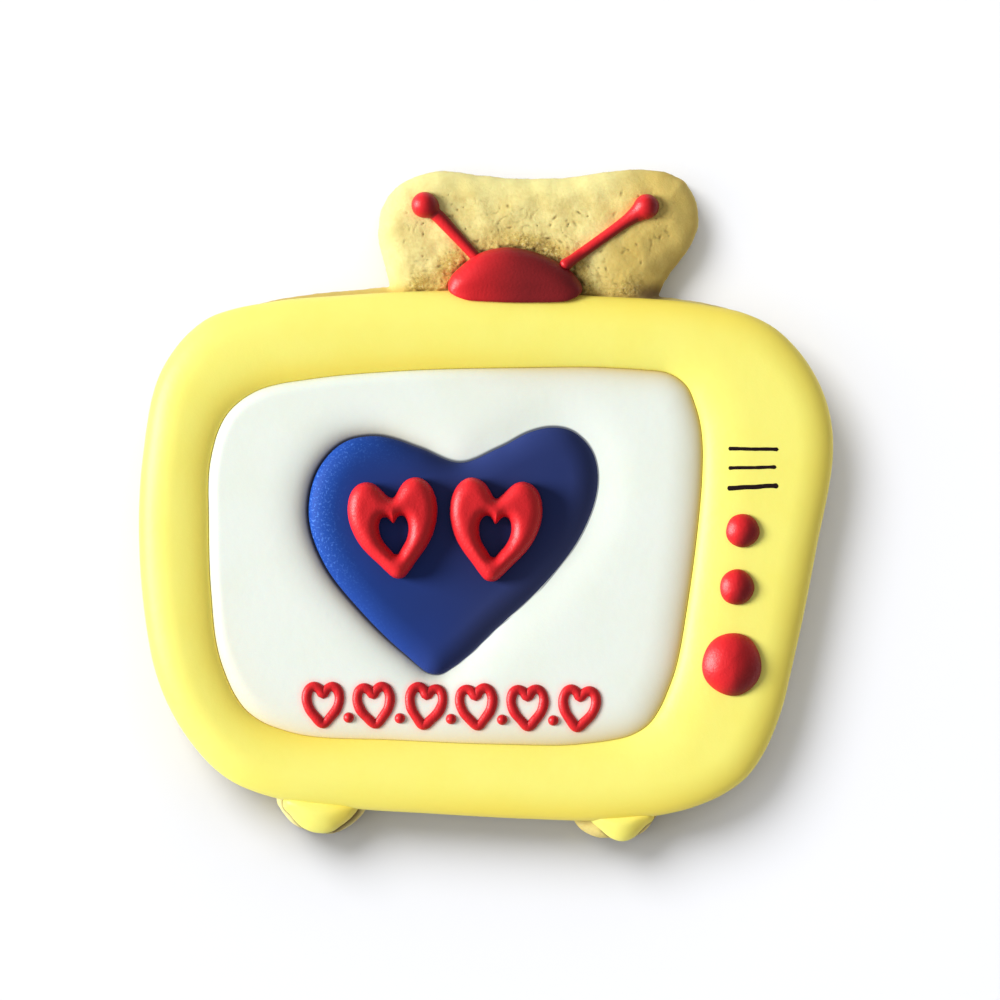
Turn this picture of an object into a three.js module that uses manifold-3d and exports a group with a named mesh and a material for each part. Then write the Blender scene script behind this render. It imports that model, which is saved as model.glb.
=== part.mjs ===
// An iced sugar cookie in the shape of an old television set, lying on its back.
// Millimetres. +Z is up from the table, +Y is the television's top and +X its right-hand side.
// The origin is on the table, under the middle of the whole cookie.
// The biscuit is rolled dough with a bare lobe at the top. Everything else is icing that lies on it: a
// yellow cabinet round a white screen, a blue heart with two open red hearts on it, knobs, aerials and feet.

import * as THREE from "three";
import { mergeVertices } from "three/addons/utils/BufferGeometryUtils.js";
import Module from "manifold-3d";

const wasm = await Module();
wasm.setup();

// Driving dimensions
const biscuitTop = 6.4; // a quarter-inch roll of dough
const yellowRise = 3.0; // crest of the yellow icing above the biscuit
const whiteRise = 2.3; // the white icing's level above the biscuit
const creaseRise = 1.1; // where the yellow and the white icing meet
const heartDip = 0.5; // how far the white icing sinks round the blue heart
const heartRise = 1.6; // the blue heart above the white icing round it
const redHeartRise = 2.6; // the open red hearts above the blue one
const redHeartLine = 4.3; // and how wide their thick piped line is
const pipingWidth = 1.4; // the piped line of the row under the blue heart
const cabinetBelly = 0.7; // the height at which the yellow icing is widest
const cabinetShoulder = 5; // how far from its outer edge it rounds over
const cabinetInnerShoulder = 6.5; // and from its inner edge
const screenShoulder = 4; // how far from its edge the white icing rounds over
const icingGap = 0.1; // between two icings side by side
const seatGap = 0.05; // under a drop of icing that lies on a curved surface
const heartFloor = biscuitTop + whiteRise - heartDip; // what the blue heart stands on
const screenSpokes = 84;

// Where the parts of the cookie are, as points on their smooth outlines, anticlockwise from the right
const screenMiddle = [-4.5, -5.5]; // spokes of the cabinet, screen and blue heart
const cabinetEdge = [
  [48.6, 9.5], [45.9, 18.5], [39.5, 25.4], [30.4, 28.1], [14.4, 29.3], [-5, 30], [-20.8, 29.3],
  [-31, 28.3], [-39.5, 25.8], [-45.5, 18.7], [-48, 7.2], [-48.6, -4], [-47.7, -16], [-45.9, -24.6],
  [-42.2, -32], [-36.4, -38.2], [-29.2, -41.1], [-18.8, -42.5], [-8, -43.2], [7, -44], [18.1, -44.1],
  [29.1, -42.3], [36.4, -38.2], [40.6, -31], [43.1, -21.6], [46, -7.5],
];
const screenEdge = [
  [30.3, 5.4], [29.8, 12.1], [27.1, 17.7], [19, 19.1], [4, 19.2], [-11.2, 18.8], [-24, 17.7], [-32, 16],
  [-36.4, 12.5], [-38.6, 6], [-38.8, -2.4], [-38.5, -12], [-37.2, -21.6], [-33.4, -28.9], [-26.6, -32],
  [-12.8, -32.9], [2, -33.5], [14, -33.4], [22.1, -31.3], [25.9, -24.9], [28.2, -14],
];
const heartEdge = [
  [15.7, 2.5], [15, 7.4], [11.8, 10.5], [7.5, 10.7], [1.8, 8], [-3.6, 5.9], [-9.4, 8], [-14.8, 9.6],
  [-19.8, 8.8], [-23.6, 4.7], [-24.8, -1.6], [-22.6, -8.3], [-17.1, -15.3], [-11.4, -20.8], [-7.1, -23.8],
  [-3.2, -21.7], [1.4, -17.4], [8.4, -10.9], [13.5, -4],
];
const biscuitEdge = [
  [48.2, 9.5], [45.6, 18.3], [39.3, 25.3], [30.6, 28.3], [14.4, 29.8], [-5, 30.6], [-19, 30.1],
  [-31, 28.4], [-39.3, 25.5], [-45.1, 18.5], [-47.6, 7.2], [-48.2, -4], [-47.3, -16], [-45.5, -24.4],
  [-41.9, -31.8], [-36.2, -37.8], [-29, -40.7], [-18.8, -42.2], [-8, -42.8], [7, -43.6], [18.1, -43.7],
  [28.9, -41.9], [36.1, -37.9], [40.2, -30.8], [42.7, -21.4], [45.6, -7.5],
];
const lobeMiddle = [7.5, 36.5];
const lobeEdge = [
  [29.9, 40.2], [29.3, 43.1], [27.4, 45.8], [23, 47], [17.2, 46.7], [11.5, 45.9], [5, 45.7],
  [-1, 46.2], [-6.6, 46.8], [-11.5, 45.3], [-14.6, 41.8], [-15, 37.4], [-13.9, 32.8], [-12.4, 28],
  [-6, 25], [7.5, 24.4], [19, 25], [23.6, 28.4], [25.2, 31.8], [28.8, 36.5],
];
const aerialBaseMiddle = [4, 31.8];
const aerialBaseEdge = [
  [13.5, 30.2], [12.2, 32.5], [9.1, 34.5], [5.9, 35.7], [2.7, 36.1], [-0.8, 35.3], [-3.3, 33.6],
  [-5, 31.8], [-5.4, 30.6], [-4.9, 29.6], [-3.2, 28.8], [1, 28.4], [7, 28.3], [11, 28.5], [12.8, 29.1],
];
const feet = [
  {
    name: "left",
    middle: [-23.3, -41.6],
    edge: [
      [-16.6, -42.2], [-18.5, -39.5], [-23.3, -38.5], [-28, -39], [-29.5, -41.2], [-28.6, -42.9],
      [-27.4, -44.4], [-25.5, -45.4], [-23.4, -46], [-21.5, -46], [-19.9, -45.4], [-18, -44],
    ],
    icingMiddle: [-23.2, -42.2],
    icing: [
      [-17.9, -42.2], [-18.8, -43.7], [-20.3, -44.9], [-21.7, -45.8], [-23.9, -45.9], [-25.8, -45.1],
      [-27.4, -43.4], [-28.7, -41.3], [-23.2, -40],
    ],
  },
  {
    name: "right",
    middle: [18.5, -43.1],
    edge: [
      [24.3, -43.2], [22.5, -40.8], [18.5, -40], [13.8, -40.8], [12, -43.7], [12.7, -44.8], [14, -46],
      [15.8, -46.6], [17.6, -46.7], [19.3, -46.8], [20.9, -46.5], [22.2, -45.7], [23.4, -44.3],
    ],
    icingMiddle: [18.9, -43.9],
    icing: [
      [23.9, -43.3], [22.8, -44.5], [21.8, -45.5], [20.5, -46.7], [19.2, -47.1], [17.8, -46.8],
      [16.2, -45.6], [14.5, -43.6], [18.8, -41.6],
    ],
  },
];
const knobs = [
  { name: "top", middle: [35.9, -3.6], radii: [2.35, 2.35], rise: 1.8 },
  { name: "middle", middle: [35.1, -11.5], radii: [2.4, 2.5], rise: 1.9 },
  { name: "large", middle: [34.4, -22.3], radii: [4.15, 4.4], rise: 2.7 },
];
const redHearts = [
  { name: "left", middle: [-12.8, -3.4], size: [12.8, 14], tilt: 0.1 },
  { name: "right", middle: [1.2, -3.6], size: [13.2, 14.4], tilt: -0.08 },
];
const aerials = [
  { name: "left", ball: [-8.6, 42], radius: 1.85, from: [-8.1, 42], end: [-1.5, 34.8], width: 1.55 },
  { name: "right", ball: [22.5, 41.8], radius: 1.75, from: [22.1, 41.5], end: [11.1, 33.6], width: 1.45 },
];
const pipedRow = {
  hearts: 6,
  from: [-22.8, -28],
  to: [13, -28.5],
  size: [4.7, 5.2],
  dotRadius: 0.75,
  dotDrop: 1.7,
};

// Outlines and distances

function denseLoop(points, count = 360) {
  const curve = new THREE.CatmullRomCurve3(
    points.map(([x, y]) => new THREE.Vector3(x, y, 0)),
    true,
    "centripetal",
  );
  curve.arcLengthDivisions = 4 * count;
  return curve.getSpacedPoints(count).slice(0, count).map(({ x, y }) => [x, y]);
}

// The points where evenly turned spokes from the middle meet the smooth outline.
function spokePoints(points, [middleX, middleY], count) {
  const polar = denseLoop(points)
    .map(([x, y]) => [Math.atan2(y - middleY, x - middleX), Math.hypot(x - middleX, y - middleY)])
    .sort((a, b) => a[0] - b[0]);
  const [first, last] = [polar[0], polar.at(-1)];
  polar.unshift([last[0] - 2 * Math.PI, last[1]]);
  polar.push([first[0] + 2 * Math.PI, first[1]]);
  const spokes = [];
  let k = 0;
  for (let i = 0; i < count; i++) {
    const angle = -Math.PI + (2 * Math.PI * i) / count;
    while (polar[k + 1][0] <= angle) k++;
    const [[a0, r0], [a1, r1]] = [polar[k], polar[k + 1]];
    const radius = r0 + ((r1 - r0) * (angle - a0)) / (a1 - a0);
    spokes.push([middleX + radius * Math.cos(angle), middleY + radius * Math.sin(angle)]);
  }
  return spokes;
}

function distanceTo(loop, x, y) {
  let nearest = Infinity;
  for (let i = 0; i < loop.length; i++) {
    const [ax, ay] = loop[i];
    const [bx, by] = loop[(i + 1) % loop.length];
    const [dx, dy] = [bx - ax, by - ay];
    const along = THREE.MathUtils.clamp(((x - ax) * dx + (y - ay) * dy) / (dx * dx + dy * dy), 0, 1);
    nearest = Math.min(nearest, Math.hypot(x - ax - along * dx, y - ay - along * dy));
  }
  return nearest;
}

function inside(loop, x, y) {
  let odd = false;
  for (let i = 0; i < loop.length; i++) {
    const [ax, ay] = loop[i];
    const [bx, by] = loop[(i + 1) % loop.length];
    if (ay > y !== by > y && x < ax + ((bx - ax) * (y - ay)) / (by - ay)) odd = !odd;
  }
  return odd;
}

// 0 at an edge, rising like a quarter circle to 1 at one shoulder's distance from it.
const roundOver = (t) => Math.sqrt(1 - (1 - THREE.MathUtils.clamp(t, 0, 1)) ** 2);

// The distances from an edge at which a quarter circle has evenly turned points.
const shoulderSteps = (shoulder, count) =>
  Array.from({ length: count }, (_, k) => shoulder * (1 - Math.cos(((k + 1) / count) * (Math.PI / 2))));

const towards = ([x, y], [middleX, middleY], distance) => {
  const length = Math.hypot(middleX - x, middleY - y);
  return between([x, y], [middleX, middleY], Math.min(distance / length, 0.94));
};

const between = ([x, y], [otherX, otherY], share) => [x + (otherX - x) * share, y + (otherY - y) * share];

const turned = ([x, y], angle) => [
  x * Math.cos(angle) - y * Math.sin(angle),
  x * Math.sin(angle) + y * Math.cos(angle),
];

// Solids

function solidFrom(vertices, triangles) {
  const mesh = new wasm.Mesh({
    numProp: 3,
    vertProperties: new Float32Array(vertices.flat()),
    triVerts: new Uint32Array(triangles.flat()),
  });
  return new wasm.Manifold(mesh);
}

function solidFromGeometry(geometry) {
  geometry.deleteAttribute("normal");
  geometry.deleteAttribute("uv");
  const merged = mergeVertices(geometry, 1e-4);
  const mesh = new wasm.Mesh({
    numProp: 3,
    vertProperties: merged.attributes.position.array,
    triVerts: new Uint32Array(merged.index.array),
  });
  return new wasm.Manifold(mesh);
}

// Joins rings that each have the same number of points, [x, y, z], anticlockwise seen from above. The rings
// run up the outside. A stack is closed by two end points, and a loop by joining its last ring to its first.
function ringSolid(rings, ends) {
  const count = rings[0].length;
  const vertices = rings.flat();
  const triangles = [];
  const joined = ends ? rings.length - 1 : rings.length;
  for (let k = 0; k < joined; k++) {
    const [lower, upper] = [k * count, ((k + 1) % rings.length) * count];
    for (let i = 0; i < count; i++) {
      const next = (i + 1) % count;
      triangles.push([lower + i, lower + next, upper + next], [lower + i, upper + next, upper + i]);
    }
  }
  if (ends) {
    const top = (rings.length - 1) * count;
    const [bottomEnd, topEnd] = [vertices.length, vertices.length + 1];
    vertices.push(...ends);
    for (let i = 0; i < count; i++) {
      const next = (i + 1) % count;
      triangles.push([next, i, bottomEnd], [top + i, top + next, topEnd]);
    }
  }
  return solidFrom(vertices, triangles);
}

// A puffed drop of icing. It stands on floor, is widest one belly above it, and rounds over within one
// shoulder of its edge. The crown is what its middle has on top of that. It stays proud of what is under it.
function puff({ edge, middle, floor, belly, rise, shoulder, crown = 0, steps = 3, inner = 1, under }) {
  const tuck = 0.25;
  const skin = 0.7;
  const overUnder = (x, y, d) => (under ? under(x, y) + skin * (0.6 + 0.4 * roundOver(d / skin)) : floor);
  const top = (x, y, share) => {
    const d = distanceTo(edge, x, y);
    const own = floor + belly + (rise - belly) * roundOver(d / shoulder) + crown * (1 - share * share);
    return Math.max(own, overUnder(x, y, d));
  };
  const lift = ([x, y], k) => {
    const [middleX, middleY] = middle;
    const [edgeX, edgeY] = edge[k];
    const share = Math.hypot(x - middleX, y - middleY) / Math.hypot(edgeX - middleX, edgeY - middleY);
    return [x, y, top(x, y, share)];
  };
  const rings = [
    edge.map((p) => [...towards(p, middle, tuck), floor]),
    edge.map(([x, y]) => [x, y, Math.max(floor + belly, overUnder(x, y, 0))]),
  ];
  for (const d of shoulderSteps(shoulder, steps)) {
    rings.push(edge.map((p, k) => lift(towards(p, middle, d), k)));
  }
  const last = rings.at(-1);
  for (let j = 1; j <= inner; j++) {
    rings.push(last.map((p, k) => lift(between(p, middle, j / (inner + 1)), k)));
  }
  return ringSolid(rings, [[...middle, floor], [...middle, top(...middle, 0)]]);
}

// A puffed band of icing between two loops whose points lie opposite each other. It stands on floor and is
// widest one belly above it. The height of its top is a function of the place.
function puffedBand({ outer, inner, floor, belly, innerBelly, tuck, shares, top }) {
  const across = (share) => outer.map((p, k) => between(p, inner[k], share));
  const tucked = outer.map((p, k) => towards(p, inner[k], tuck));
  return ringSolid([
    inner.map(([x, y]) => [x, y, floor]),
    tucked.map(([x, y]) => [x, y, floor]),
    outer.map(([x, y]) => [x, y, floor + belly]),
    ...shares.map((share) => across(share).map(([x, y]) => [x, y, top(x, y)])),
    inner.map(([x, y]) => [x, y, floor + innerBelly]),
  ]);
}

function movedUp(solid, distance) {
  const { vertProperties, triVerts } = solid.getMesh();
  const lifted = vertProperties.map((value, k) => (k % 3 === 2 ? value + distance : value));
  return new wasm.Manifold(new wasm.Mesh({ numProp: 3, vertProperties: lifted, triVerts }));
}

// What is left of a drop of icing round and above what it lies on, without the loose scraps of the cut.
function laidOn(drop, ...unders) {
  const cutBy = (solid, under) => solid.subtract(under).subtract(movedUp(under, seatGap));
  const rest = unders.reduce(cutBy, drop);
  return rest.decompose().reduce((a, b) => (b.volume() > a.volume() ? b : a));
}

const cabinetLoop = denseLoop(cabinetEdge);
const screenLoop = denseLoop(screenEdge);
const heartLoop = denseLoop(heartEdge);

// The biscuit

// Lumps in the baked surface, a few millimetres across.
function lumps(x, y) {
  const waves = [
    [1.15, 0.35, 0.6], [-0.5, 1.25, 2.1], [0.9, -1.05, 4],
    [1.9, 0.8, 1.3], [-1.3, 1.7, 5.2], [0.4, 2.3, 3.3],
  ];
  const heights = waves.map(([u, v, phase], k) => Math.sin(u * x + v * y + phase) / (1.4 + 0.35 * k));
  return heights.reduce((sum, height) => sum + height, 0) / 3;
}

const ellipse = ([x, y], [radiusX, radiusY], sides) =>
  Array.from({ length: sides }, (_, k) => {
    const angle = (2 * Math.PI * k) / sides;
    return [x + radiusX * Math.cos(angle), y + radiusY * Math.sin(angle)];
  });

function biscuitSlab({ edge, middle, shoulder, top, steps = 3, inner = 0 }) {
  const footTuck = 0.5;
  const wobble = ([x, y]) => towards([x, y], middle, 0.12 * lumps(1.7 * x, 1.7 * y));
  const rim = edge.map(wobble);
  const wall = top - shoulder * 0.8;
  const rings = [
    rim.map((p) => [...towards(p, middle, footTuck), 0]),
    rim.map(([x, y]) => [x, y, footTuck]),
    rim.map(([x, y]) => [x, y, wall]),
  ];
  const lift = ([x, y]) => [x, y, wall + (top - wall) * roundOver(distanceTo(rim, x, y) / shoulder)];
  for (const d of shoulderSteps(shoulder, steps)) rings.push(rim.map((p) => lift(towards(p, middle, d))));
  const last = rings.at(-1);
  for (let j = 1; j <= inner; j++) {
    rings.push(last.map((p) => lift(between(p, middle, j / (inner + 1)))));
  }
  return { rings, ends: [[...middle, 0], [...middle, top]] };
}

function biscuit() {
  const cabinet = biscuitSlab({
    edge: spokePoints(biscuitEdge, screenMiddle, 90),
    middle: screenMiddle,
    shoulder: 1.2,
    top: biscuitTop,
    steps: 2,
  });
  const lobe = biscuitSlab({
    edge: spokePoints(lobeEdge, lobeMiddle, 60),
    middle: lobeMiddle,
    shoulder: 3.2,
    top: biscuitTop,
    steps: 3,
    inner: 5,
  });
  // The bare lobe swells and is lumpy, and stays level where the yellow icing lies on it.
  const bake = ([x, y, z]) => {
    if (z < biscuitTop / 2) return [x, y, z];
    const outside = inside(cabinetLoop, x, y) ? 0 : distanceTo(cabinetLoop, x, y);
    const bare = THREE.MathUtils.smoothstep(outside, 0, 3);
    return [x, y, z - 0.1 + bare * (0.5 + 0.3 * lumps(x, y))];
  };
  const lobeSolid = ringSolid(lobe.rings.map((ring) => ring.map(bake)), [lobe.ends[0], bake(lobe.ends[1])]);
  const footSolids = feet.map(({ middle, edge: points }) => {
    const edge = spokePoints(points, middle, 24);
    const slab = biscuitSlab({ edge, middle, shoulder: 0.8, top: biscuitTop - 0.3, steps: 2 });
    return ringSolid(slab.rings, slab.ends);
  });
  return footSolids.reduce(
    (whole, foot) => whole.add(foot),
    ringSolid(cabinet.rings, cabinet.ends).add(lobeSolid),
  );
}

// The yellow cabinet and its feet

function yellowTop(x, y) {
  const outer = roundOver(distanceTo(cabinetLoop, x, y) / cabinetShoulder);
  const inner = roundOver(distanceTo(screenLoop, x, y) / cabinetInnerShoulder);
  const crest = creaseRise + (yellowRise - creaseRise) * inner;
  return biscuitTop + cabinetBelly + (crest - cabinetBelly) * outer;
}

function yellowIcing() {
  return puffedBand({
    outer: spokePoints(cabinetEdge, screenMiddle, screenSpokes),
    inner: spokePoints(screenEdge, screenMiddle, screenSpokes),
    floor: biscuitTop,
    belly: cabinetBelly,
    innerBelly: creaseRise,
    tuck: 0.5,
    shares: [0.015, 0.06, 0.15, 0.3, 0.5, 0.72, 0.88, 0.97],
    top: yellowTop,
  });
}

// A foot's icing is a rounded triangle that points down from the cabinet.
function footIcing({ icing, icingMiddle }, ...unders) {
  const edge = spokePoints(icing, icingMiddle, 24);
  const shape = { belly: 0.5, rise: 1.6, shoulder: 2.2, crown: 0.5 };
  return laidOn(puff({ edge, middle: icingMiddle, floor: biscuitTop - 0.3, ...shape }), ...unders);
}

// The white screen with the piped row on it

function whiteTop(x, y) {
  const rim = roundOver(distanceTo(screenLoop, x, y) / screenShoulder);
  const outside = inside(heartLoop, x, y) ? 0 : distanceTo(heartLoop, x, y);
  const dip = heartDip * Math.exp(-((outside / 3.5) ** 2));
  return biscuitTop + creaseRise + (whiteRise - creaseRise) * rim - dip;
}

// A heart's right-hand half in a box one wide and one high, from its notch down to its point
const halfHeart = [[0.12, 0.44], [0.28, 0.5], [0.43, 0.41], [0.49, 0.18], [0.41, -0.09], [0.22, -0.32]];

function heartPoints([middleX, middleY], [width, height], tilt) {
  const right = halfHeart.map(([x, y]) => [x * width, y * height]);
  const left = right.map(([x, y]) => [-x, y]);
  const whole = [[0, 0.3 * height], ...left, [0, -0.5 * height], ...right.reverse()];
  return whole.map((p) => turned(p, tilt)).map(([x, y]) => [middleX + x, middleY + y]);
}

// A closed bead of icing along a loop. Its section is points across the line and above the surface, as
// shares of its width, anticlockwise where the line runs away from the eye.
function pipedLoop({ points, steps, width, section, surface }) {
  const path = denseLoop(points, steps);
  const rings = section.map(([across, up]) =>
    path.map(([x, y], k) => {
      const [[ax, ay], [bx, by]] = [path[(k + steps - 1) % steps], path[(k + 1) % steps]];
      const length = Math.hypot(bx - ax, by - ay);
      const side = (width * across) / length;
      return [x + (by - ay) * side, y - (bx - ax) * side, surface(x, y) + width * up];
    }),
  );
  return ringSolid(rings);
}

function pipedDot(x, y, radius, surface) {
  const ball = new THREE.SphereGeometry(radius, 7, 4);
  ball.rotateX(Math.PI / 2);
  ball.translate(x, y, surface(x, y) + 0.2 * radius);
  return solidFromGeometry(ball);
}

const rowPlace = (share) => between(pipedRow.from, pipedRow.to, share);

// Small open hearts with a dot between each two
function pipedRowPieces() {
  const { hearts, size, dotRadius, dotDrop } = pipedRow;
  const section = [[0.5, -0.05], [0.25, 0.42], [-0.25, 0.42], [-0.5, -0.05], [0, -0.45]];
  const pieces = [];
  for (let k = 0; k < hearts; k++) {
    const points = heartPoints(rowPlace(k / (hearts - 1)), size, 0.12 * Math.sin(2.3 * k));
    pieces.push(pipedLoop({ points, steps: 14, width: pipingWidth, section, surface: whiteTop }));
    if (k === hearts - 1) break;
    const [x, y] = rowPlace((k + 0.5) / (hearts - 1));
    pieces.push(pipedDot(x, y - dotDrop, dotRadius, whiteTop));
  }
  return pieces;
}

function whiteIcing() {
  const spokesOf = (loop, distance) =>
    spokePoints(loop, screenMiddle, screenSpokes).map((p) => towards(p, screenMiddle, distance));
  const edge = spokesOf(screenEdge, icingGap);
  const heart = spokesOf(heartEdge, -0.3);
  const lift = ([x, y]) => [x, y, whiteTop(x, y)];
  const rings = [
    edge.map(([x, y]) => [x, y, biscuitTop]),
    edge.map(([x, y]) => [x, y, biscuitTop + creaseRise]),
  ];
  for (const share of [0.04, 0.13, 0.27, 0.45, 0.65, 0.85]) {
    rings.push(edge.map((p, k) => lift(between(p, heart[k], share))));
  }
  rings.push(heart.map(([x, y]) => [x, y, heartFloor]));
  const screen = ringSolid(rings, [[...screenMiddle, biscuitTop], [...screenMiddle, heartFloor]]);
  return pipedRowPieces().reduce((whole, piece) => whole.add(piece), screen);
}

// Drops of icing that lie on the others

function blueHeart() {
  return puff({
    edge: spokePoints(heartEdge, screenMiddle, 64),
    middle: screenMiddle,
    floor: heartFloor,
    belly: 0.5,
    rise: heartRise,
    shoulder: 3.6,
    steps: 4,
  });
}

function redHeart({ middle, size, tilt }) {
  const [x, y] = middle;
  const spokes = 32;
  const hole = size.map((extent) => extent - 2 * redHeartLine);
  const holeMiddle = [x, y - 0.2 * redHeartLine];
  const outer = spokePoints(heartPoints(middle, size, tilt), holeMiddle, spokes);
  const inner = spokePoints(heartPoints(holeMiddle, hole, tilt), holeMiddle, spokes);
  const floor = heartFloor + heartRise;
  const belly = 0.7;
  const top = (px, py) => {
    const nearest = Math.min(distanceTo(outer, px, py), distanceTo(inner, px, py));
    return floor + belly + (redHeartRise - belly) * roundOver(nearest / (0.45 * redHeartLine));
  };
  const shares = [0.06, 0.22, 0.5, 0.78, 0.94];
  return puffedBand({ outer, inner, floor, belly, innerBelly: belly, tuck: 0.2, shares, top });
}

function knob({ middle, radii, rise }, under) {
  const sunk = 0.6;
  const drop = puff({
    edge: ellipse(middle, radii, radii[0] > 3 ? 28 : 20),
    middle,
    floor: yellowTop(...middle) - sunk,
    belly: sunk + 0.5,
    rise: rise + sunk,
    shoulder: radii[0],
  });
  return laidOn(drop, under);
}

function aerialBase(...unders) {
  const drop = puff({
    edge: spokePoints(aerialBaseEdge, aerialBaseMiddle, 32),
    middle: aerialBaseMiddle,
    floor: biscuitTop - 0.2,
    belly: 1.2,
    rise: 3.4,
    shoulder: 3.4,
    crown: 0.5,
    under: (x, y) => (inside(cabinetLoop, x, y) ? yellowTop(x, y) : biscuitTop),
  });
  return laidOn(drop, ...unders);
}

// A ball of icing with a straight piped line that ends on the aerial's base.
function aerial({ ball, radius, from, end, width }, ...unders) {
  const level = biscuitTop + 0.7;
  const length = Math.hypot(end[0] - from[0], end[1] - from[1]);
  const line = new THREE.CapsuleGeometry(width / 2, length, 3, 8);
  line.rotateZ(Math.atan2(end[1] - from[1], end[0] - from[0]) - Math.PI / 2);
  line.translate((from[0] + end[0]) / 2, (from[1] + end[1]) / 2, level);
  const head = new THREE.SphereGeometry(radius, 14, 9);
  head.rotateX(Math.PI / 2);
  head.translate(ball[0], ball[1], biscuitTop + 0.45 * radius);
  return laidOn(solidFromGeometry(line).add(solidFromGeometry(head)), ...unders);
}

// The cookie as a scene

const icing = (colour) => new THREE.MeshStandardMaterial({ color: colour, roughness: 0.5, metalness: 0 });
const materials = {
  biscuit: new THREE.MeshStandardMaterial({ color: 0xe3cf8c, roughness: 0.85, metalness: 0 }),
  yellow: icing(0xfbf07a),
  white: icing(0xf2f5ea),
  blue: icing(0x1f3a9a),
  red: icing(0xd42a2f),
};

function meshOf(name, solid, material) {
  const { numProp, numVert, vertProperties, triVerts } = solid.getMesh();
  const positions = new Float32Array(numVert * 3);
  for (let i = 0; i < numVert; i++) {
    positions.set(vertProperties.subarray(i * numProp, i * numProp + 3), i * 3);
  }
  const geometry = new THREE.BufferGeometry();
  geometry.setAttribute("position", new THREE.BufferAttribute(positions, 3));
  geometry.setIndex(new THREE.BufferAttribute(new Uint32Array(triVerts), 1));
  geometry.computeVertexNormals();
  const mesh = new THREE.Mesh(geometry, material);
  mesh.name = name;
  return mesh;
}

const biscuitSolid = biscuit();
const yellowSolid = yellowIcing();
const baseSolid = aerialBase(biscuitSolid, yellowSolid);

const cookie = new THREE.Group();
cookie.name = "television_cookie";
cookie.add(
  meshOf("biscuit", biscuitSolid, materials.biscuit),
  meshOf("yellow_icing", yellowSolid, materials.yellow),
  meshOf("white_icing", whiteIcing(), materials.white),
  meshOf("blue_heart", blueHeart(), materials.blue),
  meshOf("aerial_base", baseSolid, materials.red),
);
for (const foot of feet) {
  const solid = footIcing(foot, yellowSolid, biscuitSolid);
  cookie.add(meshOf(`foot_icing_${foot.name}`, solid, materials.yellow));
}
for (const heart of redHearts) {
  cookie.add(meshOf(`red_heart_${heart.name}`, redHeart(heart), materials.red));
}
for (const each of knobs) {
  cookie.add(meshOf(`knob_${each.name}`, knob(each, yellowSolid), materials.red));
}
for (const each of aerials) {
  cookie.add(meshOf(`aerial_${each.name}`, aerial(each, biscuitSolid, baseSolid), materials.red));
}

export default cookie;
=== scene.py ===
"""The looks of an iced sugar cookie in the shape of an old television set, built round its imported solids.

Lengths are millimetres, and become metres where a mesh is made. +Y is the television's top, +X its
right-hand side and +Z up from the table. Outlines and heights are taken from the solids.
"""
import math

import bpy
import numpy as np
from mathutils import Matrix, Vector, geometry, kdtree, noise


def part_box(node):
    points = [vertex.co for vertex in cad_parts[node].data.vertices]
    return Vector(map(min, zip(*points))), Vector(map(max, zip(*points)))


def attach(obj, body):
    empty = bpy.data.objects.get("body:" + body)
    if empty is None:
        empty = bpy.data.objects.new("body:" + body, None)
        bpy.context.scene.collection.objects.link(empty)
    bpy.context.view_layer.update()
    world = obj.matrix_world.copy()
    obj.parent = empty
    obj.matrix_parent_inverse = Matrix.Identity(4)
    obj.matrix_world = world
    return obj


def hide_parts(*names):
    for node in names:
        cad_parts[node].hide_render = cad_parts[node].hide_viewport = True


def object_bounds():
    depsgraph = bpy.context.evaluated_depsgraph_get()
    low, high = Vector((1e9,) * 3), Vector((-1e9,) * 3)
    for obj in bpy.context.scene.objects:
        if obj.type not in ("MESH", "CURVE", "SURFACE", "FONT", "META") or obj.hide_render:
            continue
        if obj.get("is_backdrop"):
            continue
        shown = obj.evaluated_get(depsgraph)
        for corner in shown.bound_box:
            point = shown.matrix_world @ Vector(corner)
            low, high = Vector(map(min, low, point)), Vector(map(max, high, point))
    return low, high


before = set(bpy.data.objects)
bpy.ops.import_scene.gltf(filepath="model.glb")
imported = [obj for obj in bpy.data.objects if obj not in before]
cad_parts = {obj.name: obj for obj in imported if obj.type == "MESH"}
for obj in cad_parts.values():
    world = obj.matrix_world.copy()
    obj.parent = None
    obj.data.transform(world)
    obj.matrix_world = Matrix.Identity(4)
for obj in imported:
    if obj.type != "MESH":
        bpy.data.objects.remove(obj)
cad_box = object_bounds()

MM = 0.001
SPOKES = 720  # points on a large outline

# Middles of the solids' outlines, and how many sides the solids have there
SCREEN_MIDDLE = np.array([-4.5, -5.5])
SCREEN_SIDES = 84
HEART_SIDES = 64
RED_HEART_SIDES = 32
BASE_MIDDLE = np.array([4, 31.8])
BASE_SIDES = 32
FOOT_MIDDLES = {"left": np.array([-23.2, -42.2]), "right": np.array([18.9, -43.9])}
FOOT_SIDES = 24

# Shapes of the icings, close to those of the solids
CREASE_RISE = 1.1
CABINET_BELLY = 0.7
CABINET_SHOULDER = 4.7
CABINET_INNER_SHOULDER = 7
SCREEN_SHOULDERS = (1.6, 5)  # of the white icing, at its upper left and at its lower right
WHITE_RISE = 2.3
HEART_SHOULDER = 3.6
BASE_SHOULDER = 3.6
RED_HEART_LINE = 4.3
RED_HEART_BELLY = 0.7
KNOB_BELLY = 0.45
RED_HEARTS = {"left": np.array([-12.8, -3.4]), "right": np.array([1.2, -3.6])}

# The piped row under the blue heart
ROW_HEARTS = 6
ROW_FROM = np.array([-22.8, -28])
ROW_TO = np.array([13, -28.5])
ROW_HEART_SIZE = (4.7, 5.2)
ROW_LINE = 1.4
ROW_DOT_RADIUS = 0.75
ROW_DOT_DROP = 1.7
# The right half of a small heart, from its notch to its tip, in shares of the size
HALF_HEART = [(0.12, 0.44), (0.28, 0.5), (0.43, 0.41), (0.49, 0.18), (0.41, -0.09), (0.22, -0.32)]

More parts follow.
